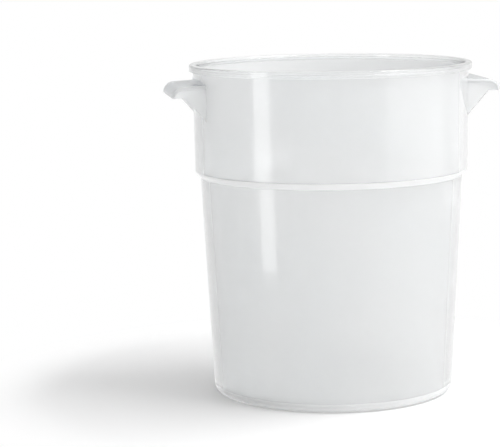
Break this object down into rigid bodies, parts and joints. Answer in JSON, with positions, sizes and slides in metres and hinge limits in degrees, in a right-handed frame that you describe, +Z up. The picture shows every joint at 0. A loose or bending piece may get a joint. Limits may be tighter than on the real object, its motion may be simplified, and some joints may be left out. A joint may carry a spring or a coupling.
{
  "type": "round food storage container",
  "caption": "Tall round translucent plastic food container with a tapered lower wall, a stacking step, a skirted rim and an ear handle on each side.",
  "frame": {"origin": "middle of the foot ring, on the table", "axes": "+Z up along the container's axis to the open rim, +X towards one ear handle, -Y towards the viewer"},
  "size_m": [0.2156, 0.186, 0.218],
  "materials": {
    "wall_plastic": "satin, milky translucent polypropylene",
    "edge_plastic": "satin, milky translucent polypropylene, whiter where it is thick or seen on edge"
  },
  "bodies": {
    "root": {"foot_ring": "edge_plastic", "floor": "wall_plastic", "lower_wall": "wall_plastic", "stacking_shoulder": "edge_plastic", "upper_wall": "wall_plastic", "rim_flange": "edge_plastic", "rim_skirt": "edge_plastic", "left_ear_plate": "wall_plastic", "left_ear_nose": "wall_plastic", "left_ear_front_web": "edge_plastic", "left_ear_back_web": "edge_plastic", "right_ear_plate": "wall_plastic", "right_ear_nose": "wall_plastic", "right_ear_front_web": "edge_plastic", "right_ear_back_web": "edge_plastic"}
  },
  "joints": []
}
